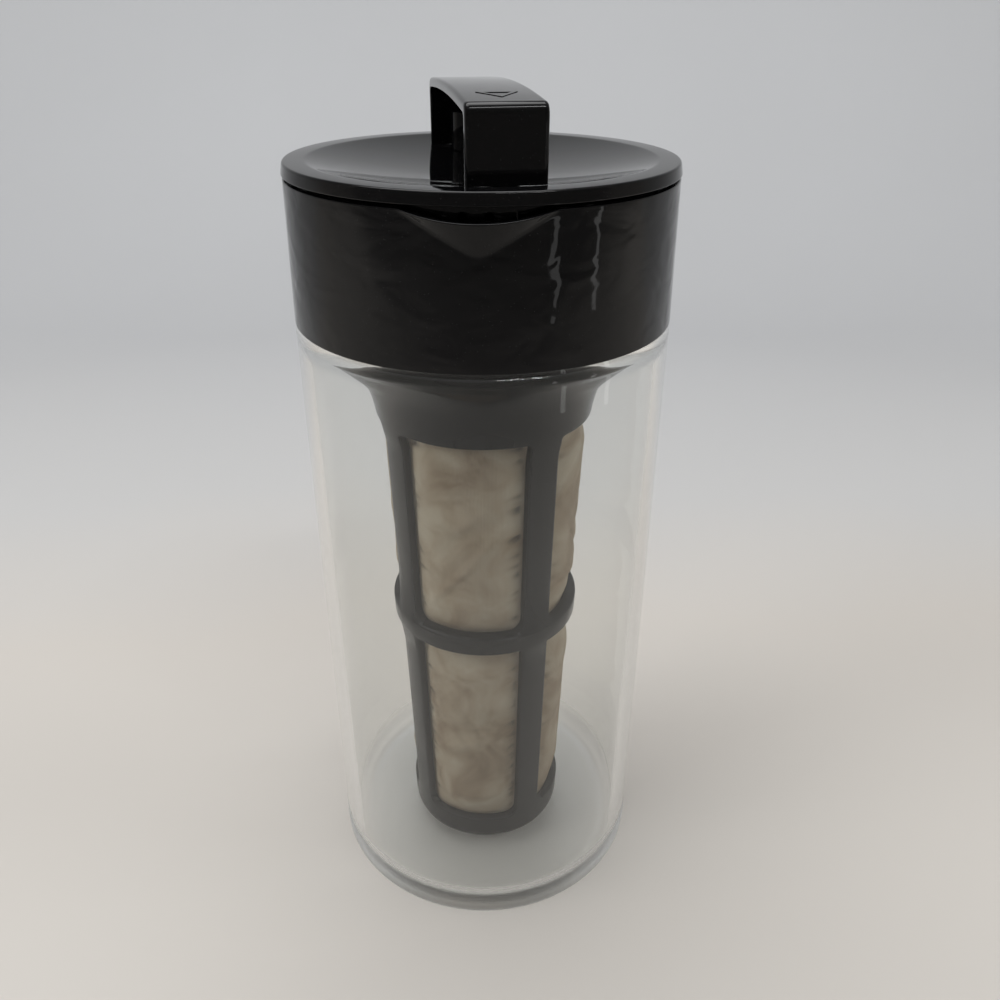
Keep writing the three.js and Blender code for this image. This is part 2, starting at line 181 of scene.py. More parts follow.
# %% Floor and backdrop
def studio_sweep():
    """A floor that curves up into a round wall, with the object a little behind its middle."""
    middle, radius, corner, height, steps, corner_steps = -300, 1400, 500, 1500, 96, 16
    profile = [(radius - corner, 0)]
    for i in range(1, corner_steps + 1):
        turn = math.pi / 2 * i / corner_steps
        out, down = corner * math.sin(turn), corner * math.cos(turn)
        profile.append((radius - corner + out, corner - down))
    profile.append((radius, height))
    vertices = []
    for reach, rise in profile:
        for i in range(steps):
            x, y, z = around(2 * math.pi * i / steps, reach, rise)
            vertices.append((x, y + middle, z))
    faces = [tuple(range(steps))]
    for ring in range(len(profile) - 1):
        faces += ring_faces(ring * steps, (ring + 1) * steps, steps)
    return link_mesh("studio_sweep", vertices, faces)


def paper_with_painted_shade():
    """Pale paper with painted shade far in front of the object, warmer round the object than behind
    it.
    """
    material, nodes, links, shader = new_material(
        "studio_paper", {"Roughness": 0.9, "Specular IOR Level": 0.1}
    )
    place = nodes.new("ShaderNodeTexCoord")
    parts = nodes.new("ShaderNodeSeparateXYZ")
    noise = add_node(nodes, "ShaderNodeTexNoise", {"Scale": 3, "Detail": 2})
    wander = add_node(nodes, "ShaderNodeMath", {1: 0.16}, "MULTIPLY_ADD")
    share = add_node(nodes, "ShaderNodeMapRange", {"From Min": -0.8, "From Max": 1.18})
    # Painted shade: the darkest stop, far in front, stands in for the dark room that the black
    # gloss reflects. Behind the object the paper turns a little darker and cooler, then paler again
    # on the far wall.
    ramp = colour_ramp(
        nodes, (0.14, (0.35, 0.34, 0.325)), (0.28, (0.56, 0.537, 0.503)),
        (0.5, (0.525, 0.498, 0.465)), (0.575, (0.49, 0.488, 0.485)),
        (0.73, (0.47, 0.475, 0.485)), (1, (0.57, 0.58, 0.595)),
    )
    wire(
        links, (place, "Object", noise, "Vector"), (place, "Object", parts, "Vector"),
        (noise, "Fac", wander, 0), (parts, "Y", wander, 2), (wander, "Value", share, "Value"),
        (share, "Result", ramp, "Fac"), (ramp, "Color", shader, "Base Color"),
    )
    return material


sweep = studio_sweep()
sweep.data.materials.append(paper_with_painted_shade())

# %% Lamps and world
def soft_lamp(name, place, aim, size, power):
    """A flat lamp that faces a point. Places and sizes are in millimetres."""
    data = bpy.data.lights.new(name, "AREA")
    data.shape = "RECTANGLE"
    data.size, data.size_y = size[0] * MM, size[1] * MM
    data.energy = power
    lamp = place_object(name, data)
    place, aim = Vector(place) * MM, Vector(aim) * MM
    facing = (aim - place).to_track_quat("-Z", "Y").to_matrix().to_4x4()
    lamp.matrix_world = Matrix.Translation(place) @ facing
    return lamp


soft_lamp("lamp_above", (-150, 200, 1200), (0, 0, 100), (1000, 700), 8)
for lamp in (
    soft_lamp("lamp_left", (-950, -350, 700), (0, 0, 130), (500, 700), 6),
    soft_lamp("lamp_right", (950, 0, 500), (0, 0, 130), (300, 700), 2.8),
):
    lamp.visible_glossy = False
soft_lamp("strip_near", (270, -506, 1080), (0, 0, 260), (350, 35), 1.2)
soft_lamp("strip_right", (460, -446, 1020), (0, 0, 260), (150, 35), 0.5)
for lamp in (
    soft_lamp("pane_near", (321, -383, 145), (0, 0, 145), (22, 150), 0.013),
    soft_lamp("pane_right", (449, -219, 145), (0, 0, 145), (22, 150), 0.015),
):
    lamp.visible_camera = lamp.visible_transmission = False


def studio_world():
    """Even light from above the round wall."""
    world = bpy.data.worlds.new("studio")
    world.use_nodes = True
    background = world.node_tree.nodes["Background"]
    background.inputs["Color"].default_value = (0.95, 0.95, 0.95, 1)
    background.inputs["Strength"].default_value = 0.5
    return world


bpy.context.scene.world = studio_world()

# %% [markdown]
# ## Shared surface effects
# Moulded plastic is never perfectly flat: it has a faint swell left by cooling, which bends its
# reflections, and a fine haze of handling marks. Both are node groups, so that each material can
# place them with its own scale and strength.

# %% Node groups
def new_group(name, inputs, outputs):
    """A shader node group with its own sockets, and its input and output nodes."""
    group = bpy.data.node_groups.new(name, "ShaderNodeTree")
    for label, kind, value in inputs:
        socket = group.interface.new_socket(name=label, in_out="INPUT", socket_type=kind)
        if value is not None:
            socket.default_value = value
    for label, kind in outputs:
        group.interface.new_socket(name=label, in_out="OUTPUT", socket_type=kind)
    return group, group.nodes.new("NodeGroupInput"), group.nodes.new("NodeGroupOutput")


def swell_group():
    """A slow swell over the surface, as a height."""
    group, given, made = new_group(
        "moulding_swell",
        [("Scale", "NodeSocketFloat", 30.0), ("Stretch", "NodeSocketFloat", 1.0)],
        [("Height", "NodeSocketFloat")],
    )
    nodes, links = group.nodes, group.links
    place = nodes.new("ShaderNodeTexCoord")
    stretch = add_node(nodes, "ShaderNodeCombineXYZ", {"X": 1, "Y": 1})
    scaled = add_node(nodes, "ShaderNodeVectorMath", operation="MULTIPLY")
    noise = add_node(nodes, "ShaderNodeTexNoise", {"Detail": 1.5, "Distortion": 0.6})
    wire(
        links, (given, "Stretch", stretch, "Z"), (place, "Object", scaled, 0),
        (stretch, "Vector", scaled, 1), (scaled, "Vector", noise, "Vector"),
        (given, "Scale", noise, "Scale"), (noise, "Fac", made, "Height"),
    )
    return group


def handling_group():
    """Roughness with faint wiping streaks and specks between a low and a high value."""
    group, given, made = new_group(
        "handling_marks",
        [
            ("Low", "NodeSocketFloat", 0.05), ("High", "NodeSocketFloat", 0.2),
            ("Scale", "NodeSocketFloat", 60.0),
        ],
        [("Roughness", "NodeSocketFloat"), ("Specks", "NodeSocketFloat")],
    )
    nodes, links = group.nodes, group.links
    place = nodes.new("ShaderNodeTexCoord")
    noise = add_node(
        nodes, "ShaderNodeTexNoise", {"Detail": 6, "Roughness": 0.6, "Distortion": 1.2}
    )
    spread = add_node(nodes, "ShaderNodeMapRange", {"From Min": 0.42, "From Max": 0.72})
    specks = add_node(nodes, "ShaderNodeTexVoronoi", {"Scale": 900})
    near = add_node(
        nodes, "ShaderNodeMapRange", {"From Min": 0.02, "From Max": 0.1, "To Min": 1, "To Max": 0},
    )
    wire(
        links, (place, "Object", noise, "Vector"), (place, "Object", specks, "Vector"),
        (given, "Scale", noise, "Scale"), (noise, "Fac", spread, "Value"),
        (given, "Low", spread, "To Min"), (given, "High", spread, "To Max"),
        (specks, "Distance", near, "Value"), (spread, "Result", made, "Roughness"),
        (near, "Result", made, "Specks"),
    )
    return group


SWELL = swell_group()
HANDLING = handling_group()


def place_group(nodes, group, **values):
    """Puts a group among a material's nodes, with its own values."""
    node = nodes.new("ShaderNodeGroup")
    node.node_tree = group
    set_inputs(node, values)
    return node


def add_bump(nodes, links, shader, height, strength, distance):
    """Feeds a height to the shader's normal. The distance is in millimetres."""
    bump = add_node(nodes, "ShaderNodeBump", {"Strength": strength, "Distance": distance * MM})
    wire(links, (*height, bump, "Height"), (bump, "Normal", shader, "Normal"))


# %% [markdown]
# ## Plastics and steel
# The collar and the lid are gloss black, the filter's frame is satin and dark grey, and the soft
# rings are grey silicone. One function makes them all from a colour and a range of roughness, as
# one moulding differs from another in little else. The black has pale dust specks on it.

# %% Plastic, rubber and steel
def plastic(name, colour, low, high, swell_scale, swell_depth, stretch=1.0):
    """Moulded plastic between two roughnesses, with a swell whose depth is in millimetres."""
    material, nodes, links, shader = new_material(name, {"Base Color": (*colour, 1)})
    marks = place_group(nodes, HANDLING, Low=low, High=high)
    swell = place_group(nodes, SWELL, Scale=swell_scale, Stretch=stretch)
    wire(links, (marks, "Roughness", shader, "Roughness"))
    add_bump(nodes, links, shader, (swell, "Height"), 1.0, swell_depth)
    return material


GLOSS_BLACK, PALE_DUST = (0.002, 0.002, 0.0023), (0.05, 0.05, 0.05)


def gloss_black_with_dust(name, swell_scale, swell_depth, stretch):
    """Gloss black with a little pale dust lying in it."""
    material = plastic(name, GLOSS_BLACK, 0.03, 0.09, swell_scale, swell_depth, stretch)
    nodes, links = material.node_tree.nodes, material.node_tree.links
    shader = nodes["Principled BSDF"]
    shader.inputs["IOR"].default_value = 1.32
    marks = next(n for n in nodes if n.type == "GROUP" and n.node_tree == HANDLING)
    tint = colour_mix(nodes, {"A": (*GLOSS_BLACK, 1), "B": (*PALE_DUST, 1)})
    wire(links, (marks, "Specks", tint, "Factor"), (tint, "Result", shader, "Base Color"))
    return material


gloss_black = gloss_black_with_dust("gloss_black_plastic", 35, 0.04, 1.0)
collar_black = gloss_black_with_dust("gloss_black_collar", 75, 0.35, 1.6)
satin_grey = plastic("satin_grey_plastic", (0.007, 0.007, 0.0073), 0.12, 0.18, 25, 0.03)
satin_grey.node_tree.nodes["Principled BSDF"].inputs["IOR"].default_value = 1.3
soft_grey = plastic("soft_grey_silicone", (0.15, 0.155, 0.16), 0.55, 0.75, 60, 0.1)


def brushed_steel():
    values = {"Base Color": (0.6, 0.6, 0.62, 1), "Metallic": 1}
    material, nodes, links, shader = new_material("plain_steel", values)
    marks = place_group(nodes, HANDLING, Low=0.2, High=0.4, Scale=400.0)
    wire(links, (marks, "Roughness", shader, "Roughness"))
    return material


steel = brushed_steel()


# %% [markdown]
# ## Clear glass
# The jug's foot is thick, and bends what lies behind it into a soft grey band. A rough foot gives
# that band its softness. Light that has to find its way through two curved walls makes a noisy
# picture, so lamp light and bounced light pass straight through instead.

# %% Clear glass
def clear_glass():
    """Glass with a soft foot, which shadow rays, bounced light and late reflections pass."""
    material, nodes, links, shader = new_material(
        "clear_glass",
        {
            "Base Color": (0.94, 0.945, 0.935, 1), "Transmission Weight": 1, "IOR": 1.47,
            "Specular IOR Level": 0.36,
        },
    )
    marks = place_group(nodes, HANDLING, Low=0.0, High=0.012, Scale=25.0)
    place = nodes.new("ShaderNodeTexCoord")
    parts = nodes.new("ShaderNodeSeparateXYZ")
    foot = {"From Min": 8.5 * MM, "From Max": 17 * MM, "To Min": 0.45, "To Max": 0}
    frosted = add_node(nodes, "ShaderNodeMapRange", foot)
    rough = add_node(nodes, "ShaderNodeMath", operation="ADD")
    wire(
        links, (place, "Object", parts, "Vector"), (parts, "Z", frosted, "Value"),
        (marks, "Roughness", rough, 0), (frosted, "Result", rough, 1),
        (rough, "Value", shader, "Roughness"),
    )
    swell = place_group(nodes, SWELL, Scale=22.0, Stretch=0.35)
    add_bump(nodes, links, shader, (swell, "Height"), 1.0, 0.12)
    path = nodes.new("ShaderNodeLightPath")
    either = add_node(nodes, "ShaderNodeMath", operation="MAXIMUM")
    clear = add_node(nodes, "ShaderNodeBsdfTransparent", {"Color": (0.90, 0.907, 0.907, 1)})
    mix = nodes.new("ShaderNodeMixShader")
    later = add_node(nodes, "ShaderNodeMath", {1: 1}, "GREATER_THAN")
    led_round = add_node(nodes, "ShaderNodeMath", operation="MINIMUM")
    any_of = add_node(nodes, "ShaderNodeMath", operation="MAXIMUM")
    wire(
        links, (path, "Is Shadow Ray", either, 0), (path, "Is Diffuse Ray", either, 1),
        (path, "Ray Depth", later, 0), (path, "Is Reflection Ray", led_round, 0),
        (later, "Value", led_round, 1), (either, "Value", any_of, 0),
        (led_round, "Value", any_of, 1), (any_of, "Value", mix, "Fac"), (shader, "BSDF", mix, 1),
        (clear, "BSDF", mix, 2),
    )
    links.new(mix.outputs["Shader"], nodes["Material Output"].inputs["Surface"])
    return material


glass_clear = clear_glass()

# %% [markdown]
# ## Turned pieces
# The carafe, the lid and the rings are all sections turned round one axis. A section is a list of
# corners, each with how far back from it the rounding starts. The same corner code serves the
# collar, whose section changes on its way round the spout.

# %% Sections and turning
CORNER_STEPS = 6


def rounded(corners, closed=True):
    """Section points from (radius, height, setback) corners, each corner drawn as a soft curve."""
    points = []
    count = len(corners)
    for i, (r, z, setback) in enumerate(corners):
        here = Vector((r, z))
        ends = not closed and i in (0, count - 1)
        if ends or setback <= 0:
            points.append((r, z))
            continue
        before = Vector(corners[i - 1][:2]) - here
        after = Vector(corners[(i + 1) % count][:2]) - here
        start = here + before.normalized() * min(setback, before.length * 0.45)
        end = here + after.normalized() * min(setback, after.length * 0.45)
        for j in range(CORNER_STEPS + 1):
            t = j / CORNER_STEPS
            spot = start * (1 - t) ** 2 + here * 2 * t * (1 - t) + end * t * t
            points.append((spot.x, spot.y))
    return points


def swept_ring(name, section_at, angles, material):
    """A closed ring whose section may change on the way round."""
    vertices, faces = [], []
    count = len(section_at(angles[0]))
    for angle in angles:
        vertices += [around(angle, r, z) for r, z in section_at(angle)]
    for i in range(len(angles)):
        faces += ring_faces(i * count, (i + 1) % len(angles) * count, count)
    return link_mesh(name, vertices, faces, material)


def even_angles(steps):
    return [2 * math.pi * i / steps for i in range(steps)]


def turned_ring(name, corners, material, steps=160):
    section = rounded(corners)
    return swept_ring(name, lambda angle: section, even_angles(steps), material)


def turned(name, points, material, steps=192):
    """A solid from a section that starts and ends on the axis, with one point at each pole."""
    inner = points[1:-1]
    count = len(inner)
    vertices = [(0, 0, points[0][1]), (0, 0, points[-1][1])]
    faces = []
    for angle in even_angles(steps):
        vertices += [around(angle, r, z) for r, z in inner]
    for i in range(steps):
        here, following = 2 + i * count, 2 + (i + 1) % steps * count
        faces.append((0, following, here))
        for j in range(count - 1):
            faces.append((here + j, following + j, following + j + 1, here + j + 1))
        faces.append((here + count - 1, following + count - 1, 1))
    return link_mesh(name, vertices, faces, material)


# %% [markdown]
# ## The carafe
# A straight wall 3 mm thick on a floor of 5 mm, with a softly rounded foot. A thick clear wall
# shows as bright and dark bands at its edges, so it is a real wall with an inside and an outside,
# and not a surface. The neck above the shoulder is hidden by the collar.

# %% Carafe
GLASS = dict(radius=55.9, wall=3.0, floor=5.0, shoulder=205.0, rim=226.0, neck=53.8, bore=51.3)


def shoulder_curve(radius=3.0, steps=8):
    """The round outer shoulder, up to where it meets the neck."""
    centre = GLASS["radius"] - radius
    reach = math.acos((GLASS["neck"] - centre) / radius)
    low = GLASS["shoulder"] - 0.2 - radius * math.sin(reach)
    turns = [reach * i / steps for i in range(steps + 1)]
    return [(centre + radius * math.cos(turn), low + radius * math.sin(turn), 0) for turn in turns]


def carafe_section():
    inner = GLASS["radius"] - GLASS["wall"]
    corners = [
        (0, 0.6, 0),
        (48, 0.6, 1.5),
        (50, 0, 1.5),
        (GLASS["radius"], 0, 3.4),
        *shoulder_curve(),
        (GLASS["neck"], GLASS["rim"], 0.9),
        (GLASS["bore"], GLASS["rim"], 0.9),
        (GLASS["bore"], GLASS["shoulder"], 2.5),
        (inner, GLASS["shoulder"] - 5, 2.5),
        (inner, GLASS["floor"], 8.5),
        (0, GLASS["floor"], 0),
    ]
    return rounded(corners, closed=False)


carafe = turned("carafe", carafe_section(), glass_clear, 256)
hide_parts("carafe_glass")
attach(carafe, "carafe")
print("carafe:", len(carafe.data.polygons), "faces")

# %% [markdown]
# ## The collar and its spout
# The collar is one gloss moulding. The spout is a V pressed out of its wall: below the V the wall
# goes straight up, and above it the wall leans out to a lip. Both sides of the V fade into the rim.
# It could be cut and bent from a plain ring, but a section that changes with the angle gives the
# lean, the fold and the pouring channel at once, with a soft edge along the fold.

# %% Collar
COLLAR = dict(
    bottom=205.3, top=245.0, radius=55.9, draft=0.6, wall=2.1, ledge=(228.6, 230.4),
    ledge_bore=51.6,
)
SPOUT = dict(
    angle=math.radians(20), drop=10.2, round_share=0.1, reach=3.3, dip=2.2, wall=2.0, channel=3.2,
)


def collar_section(angle):
    share = min(abs(angle) / SPOUT["angle"], 1)
    top_radius = COLLAR["radius"] - COLLAR["draft"]
    bore = top_radius - COLLAR["wall"]
    reach = SPOUT["reach"] * (1 - share * share)
    lip_height = COLLAR["top"] - SPOUT["dip"] * (1 - share * share)
    soft = SPOUT["round_share"]
    climb = (math.hypot(share, soft) - soft) / (math.hypot(1, soft) - soft)
    fold_height = min(COLLAR["top"] - SPOUT["drop"] * (1 - climb), lip_height - 0.8)
    fold_share = (fold_height - COLLAR["bottom"]) / (COLLAR["top"] - COLLAR["bottom"])
    fold_radius = COLLAR["radius"] - COLLAR["draft"] * fold_share
    channel_height = min(fold_height + SPOUT["channel"], lip_height - 0.4)
    skirt = GLASS["neck"] + 0.3
    return rounded(
        [
            (skirt, COLLAR["bottom"], 0.3),
            (COLLAR["radius"], COLLAR["bottom"], 0.5),
            (fold_radius, fold_height, 1.0),
            (top_radius + reach, lip_height, 0.55),
            (top_radius + reach - SPOUT["wall"], lip_height, 0.55),
            (bore, channel_height, 1.2),
            (bore, COLLAR["ledge"][1], 0.3),
            (COLLAR["ledge_bore"], COLLAR["ledge"][1], 0.3),
            (COLLAR["ledge_bore"], COLLAR["ledge"][0], 0.3),
            (skirt, COLLAR["ledge"][0], 0.3),
        ]
    )


def collar_angles():
    """Angles from one side of the spout right round to it again, closest across the spout."""
    spout_steps, rest_steps = 80, 200
    angles = [SPOUT["angle"] * (2 * i / spout_steps - 1) for i in range(spout_steps + 1)]
    rest = 2 * math.pi - 2 * SPOUT["angle"]
    angles += [SPOUT["angle"] + rest * i / rest_steps for i in range(1, rest_steps)]
    return angles


def collar_section_wrapped(angle):
    return collar_section(angle - 2 * math.pi if angle > math.pi else angle)


collar = swept_ring("spout_collar", collar_section_wrapped, collar_angles(), collar_black)
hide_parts("collar")
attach(collar, "carafe")

gasket = turned_ring(
    "neck_gasket",
    [(51.6, 226.3, 0.5), (53.6, 226.3, 0.5), (53.6, 228.3, 0.5), (51.6, 228.3, 0.5)],
    soft_grey,
)
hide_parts("rim_gasket")
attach(gasket, "carafe")

# %% [markdown]
# ## The filter's frame
# One satin moulding: a cup, four ribs, a middle ring, a trumpet-shaped funnel and a sleeve with a
# lip. A boolean cut of windows in a turned shape would leave sharp edges that are hard to round.
# Instead a flat panel with two rounded windows, a quarter of the frame unrolled, is drawn as a
# curve whose bevel rounds every window edge. It is then sliced finely and wrapped onto the outline
# of the frame, and Geometry Nodes repeat it four times.

# %% The frame's outline
FILTER = dict(
    turn=math.radians(34.3), bottom=7.8, low_radius=28.5, high_radius=33.2, cage_top=171.0,
    sleeve_radius=51.0, lip_bottom=230.7, lip_top=232.5, lip_radius=52.9,
)
PANEL_WALL = 3.0
PANEL_RADIUS = 31.0
RIB_HALF_ANGLE = math.radians(9.5)
WINDOWS = ((18.0, 98.4), (105.4, 174.4))
RING_BOTTOM, RING_TOP = WINDOWS[0][1], WINDOWS[1][0]
RING_PROUD, RING_ROUND = 1.3, 0.9


def cage_radius(height):
    share = (height - FILTER["bottom"]) / (FILTER["cage_top"] - FILTER["bottom"])
    return FILTER["low_radius"] + (FILTER["high_radius"] - FILTER["low_radius"]) * share


def frame_outline():
    """The frame's outer outline, from the axis under the cup up to the lip."""
    corners = [
        (0, FILTER["bottom"], 0),
        (FILTER["low_radius"], FILTER["bottom"], 3.4),
        (cage_radius(168), 168, 2.0),
        (33.9, FILTER["cage_top"], 1.5),
        (34.6, 175, 1.8),
        (35.3, 179, 1.8),
        (36.4, 183, 1.8),
        (38.0, 187, 1.6),
        (39.8, 190, 1.6),
        (42.2, 193.4, 1.8),
        (45.5, 197, 2.0),
        (FILTER["sleeve_radius"], 200.2, 1.3),
        (FILTER["sleeve_radius"], FILTER["lip_top"], 0),
    ]
    return rounded(corners, closed=False)


class Outline:
    """A point and an outward direction at any distance along the outline."""

    def __init__(self, points):
        self.points = np.array(points, float)
        steps = np.linalg.norm(np.diff(self.points, axis=0), axis=1)
        self.places = np.concatenate([[0], np.cumsum(steps)])
        tangents = np.gradient(self.points, self.places, axis=0)
        tangents /= np.linalg.norm(tangents, axis=1)[:, None]
        self.normals = np.stack([tangents[:, 1], -tangents[:, 0]], 1)

    def at(self, place):
        point = [np.interp(place, self.places, self.points[:, k]) for k in (0, 1)]
        normal = np.array([np.interp(place, self.places, self.normals[:, k]) for k in (0, 1)])
        return np.array(point), normal / np.linalg.norm(normal)

    def place_of(self, height):
        """The distance along the outline at which it reaches a height, above the cup's corner."""
        rising = self.points[:, 1] > FILTER["bottom"] + 2
        return float(np.interp(height, self.points[rising, 1], self.places[rising]))


outline = Outline(frame_outline())
print("outline length", round(outline.places[-1], 1), "mm")


# %% One quarter of the frame, flat
def rounded_rectangle(left, right, low, high, low_round, high_round, steps=8):
    """Corner points of a rectangle with rounded corners, anticlockwise."""
    points = []
    for x, y, round_, start in (
        (right, low, low_round, -90),
        (right, high, high_round, 0),
        (left, high, high_round, 90),
        (left, low, low_round, 180),
    ):
        cx = x - round_ if x == right else x + round_
        cy = y + round_ if y == low else y - round_
        for i in range(steps + 1):
            turn = math.radians(start + 90 * i / steps)
            points.append((cx + round_ * math.cos(turn), cy + round_ * math.sin(turn)))
    return points


def flat_panel():
    """The unrolled quarter: across is the angle, and up is the distance along the outline."""
    curve = bpy.data.curves.new("flat_panel", "CURVE")
    curve.dimensions = "2D"
    curve.fill_mode = "BOTH"
    edge = 0.55
    curve.bevel_depth = edge * MM
    curve.bevel_resolution = 2
    curve.extrude = (PANEL_WALL / 2 - edge) * MM
    half = PANEL_RADIUS * math.pi / 4
    top = outline.places[-1] - edge
    loops = [[(-half - 3, -5), (half + 3, -5), (half + 3, top), (-half - 3, top)]]
    window_half = PANEL_RADIUS * (math.pi / 4 - RIB_HALF_ANGLE)
    for low, high in WINDOWS:
        low, high = outline.place_of(low) - edge, outline.place_of(high) + edge
        sides = (-window_half - edge, window_half + edge)
        loops.append(rounded_rectangle(*sides, low, high, low_round=4.4, high_round=1.6))
    for loop in loops:
        spline = curve.splines.new("POLY")
        spline.points.add(len(loop) - 1)
        for point, (x, y) in zip(spline.points, loop):
            point.co = (x * MM, y * MM, 0, 1)
        spline.use_cyclic_u = True
    obj = place_object("flat_panel", curve)
    graph = bpy.context.evaluated_depsgraph_get()
    mesh = bpy.data.meshes.new_from_object(obj.evaluated_get(graph), depsgraph=graph)
    bpy.data.objects.remove(obj)
    return mesh


def slice_panel(mesh):
    """Cuts the panel into narrow strips both ways, so that it can bend, and trims its ends."""
    work = bmesh.new()
    work.from_mesh(mesh)
    bmesh.ops.remove_doubles(work, verts=work.verts, dist=1e-7)
    bmesh.ops.dissolve_limit(work, angle_limit=0.01, verts=work.verts, edges=work.edges)
    half = PANEL_RADIUS * math.pi / 4 * MM

    def cut(place, direction, drop=False):
        parts = work.verts[:] + work.edges[:] + work.faces[:]
        bmesh.ops.bisect_plane(
            work, geom=parts, dist=1e-7, plane_co=place, plane_no=direction, clear_outer=drop
        )

    cut((half, 0, 0), (1, 0, 0), drop=True)
    cut((-half, 0, 0), (-1, 0, 0), drop=True)
    cut((0, 0, 0), (0, -1, 0), drop=True)
    columns = 24
    for i in range(1, columns):
        cut((half * (2 * i / columns - 1), 0, 0), (1, 0, 0))
    rows = list(outline.places[1:-1])
    ring_low, ring_high = outline.place_of(RING_BOTTOM), outline.place_of(RING_TOP)
    ring_rows = (0.2, 0.5, RING_ROUND)
    rows += [ring_low + d for d in ring_rows] + [ring_high - d for d in ring_rows]
    lip_low = outline.place_of(FILTER["lip_bottom"])
    rows += [lip_low - 0.05, lip_low + 0.05, lip_low + 0.3, lip_low - 1.5]
    rows += [outline.place_of(z) for z in (30, 50, 70, 90, 120, 140, 158, 210, 220)]
    rows += [outline.places[1] * k / 6 for k in range(1, 6)]
    for place in sorted(rows):
        cut((0, place * MM, 0), (0, 1, 0))
    return work


def proud(place):
    """How far the outer face stands out from the outline: the middle ring and the lip."""
    ring_low, ring_high = outline.place_of(RING_BOTTOM), outline.place_of(RING_TOP)
    lip = outline.place_of(FILTER["lip_bottom"])
    if ring_low < place < ring_high:
        rise = min(place - ring_low, ring_high - place) / RING_ROUND
        return RING_PROUD * math.sqrt(max(0, 1 - (1 - min(rise, 1)) ** 2))
    if place > lip:
        return (FILTER["lip_radius"] - FILTER["sleeve_radius"]) * min((place - lip) / 0.05, 1)
    return 0


def wall_at(height):
    """The wall's thickness, as a share of the flat panel's, at a height."""
    walls = (PANEL_WALL, PANEL_WALL, 2.4, 2.0)
    return float(np.interp(height, (0, FILTER["cage_top"], 190, 205), walls)) / PANEL_WALL


def wrap_panel(work):
    """Wraps the flat panel onto the outline: the panel's thickness goes inwards from it."""
    for vertex in work.verts:
        x, place, depth = (v / MM for v in vertex.co)
        point, normal = outline.at(place)
        outward = depth / PANEL_WALL + 0.5
        offset = (outward - 1) * PANEL_WALL * wall_at(point[1]) + outward * proud(place)
        spot = point + normal * offset
        angle = x / PANEL_RADIUS
        vertex.co = Vector(around(angle, max(spot[0], 0), spot[1])) * MM
    bmesh.ops.remove_doubles(work, verts=work.verts, dist=2e-6)


def quarter_frame():
    flat = flat_panel()
    work = slice_panel(flat)
    wrap_panel(work)
    data = bpy.data.meshes.new("filter_basket")
    work.to_mesh(data)
    work.free()
    return place_object("filter_basket", data)


# %% Geometry Nodes that repeat a piece round the axis
def tree_with(name, inputs):
    """A Geometry Nodes tree with a geometry in and out and named sizes."""
    tree = bpy.data.node_groups.new(name, "GeometryNodeTree")
    tree.interface.new_socket(name="Geometry", in_out="INPUT", socket_type="NodeSocketGeometry")
    for label, kind in inputs:
        tree.interface.new_socket(name=label, in_out="INPUT", socket_type=kind)
    tree.interface.new_socket(name="Geometry", in_out="OUTPUT", socket_type="NodeSocketGeometry")
    return tree, tree.nodes.new("NodeGroupInput"), tree.nodes.new("NodeGroupOutput")


def run_tree(obj, tree, values):
    """Runs a tree on an object and keeps the result as its mesh."""
    modifier = obj.modifiers.new(tree.name, "NODES")
    modifier.node_group = tree
    for item in tree.interface.items_tree:
        if item.in_out == "INPUT" and item.name in values:
            modifier[item.identifier] = values[item.name]
    return bake(obj)


TURNED_INPUTS = [
    ("Copies", "NodeSocketInt"), ("First Angle", "NodeSocketFloat"),
    ("Angle Step", "NodeSocketFloat"), ("Material", "NodeSocketMaterial"),
]


def turned_copies(nodes, links, given, shape):
    """Copies of a shape turned about Z, as real geometry."""
    points = nodes.new("GeometryNodePoints")
    index = nodes.new("GeometryNodeInputIndex")
    angle = add_node(nodes, "ShaderNodeMath", operation="MULTIPLY_ADD")
    turn = nodes.new("ShaderNodeCombineXYZ")
    copies = nodes.new("GeometryNodeInstanceOnPoints")
    real = nodes.new("GeometryNodeRealizeInstances")
    wire(
        links, (given, "Copies", points, "Count"), (index, "Index", angle, 0),
        (given, "Angle Step", angle, 1), (given, "First Angle", angle, 2),
        (angle, "Value", turn, "Z"), (points, "Points", copies, "Points"),
        (shape, "Geometry", copies, "Instance"), (turn, "Vector", copies, "Rotation"),
        (copies, "Instances", real, "Geometry"),
    )
    return real


def round_the_axis_tree():
    """Copies turned round Z, joined where they meet."""
    inputs = TURNED_INPUTS + [("Join Distance", "NodeSocketFloat")]
    tree, given, made = tree_with("round_the_axis", inputs)
    nodes, links = tree.nodes, tree.links
    real = turned_copies(nodes, links, given, given)
    joined = nodes.new("GeometryNodeMergeByDistance")
    finish = nodes.new("GeometryNodeSetMaterial")
    wire(
        links, (real, "Geometry", joined, "Geometry"), (given, "Join Distance", joined, "Distance"),
        (joined, "Geometry", finish, "Geometry"), (given, "Material", finish, "Material"),
        (finish, "Geometry", made, "Geometry"),
    )
    return tree


ROUND_THE_AXIS = round_the_axis_tree()


def place_round(obj, copies, material, first=0.0, join=0.0):
    """Repeats an object's mesh evenly round the axis. Points nearer than the join become one."""
    values = {
        "Copies": copies, "First Angle": first, "Angle Step": 2 * math.pi / copies,
        "Join Distance": join, "Material": material,
    }
    return run_tree(obj, ROUND_THE_AXIS, values)


basket = place_round(quarter_frame(), 4, satin_grey, FILTER["turn"] + math.pi / 4, 3e-6)
basket.data.shade_smooth()
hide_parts("filter_frame")
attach(basket, "filter")
print("filter frame:", len(basket.data.polygons), "faces")

# %% [markdown]
# ## The filter's mesh
# A sleeve of very fine woven mesh, held inside the frame and pushed out through the windows. It is
# slack, so it has soft folds that run slantwise across each window and short creases where it
# meets the ribs. It is one thin sheet, shaped in code, and it lets some light and sight through.

# %% Mesh sleeve
MESH = dict(bottom=11.2, top=175.6, columns=360, rows=264, wall=3.0, gap=0.35)
WINDOW_PUSH = (2.6, 3.0)


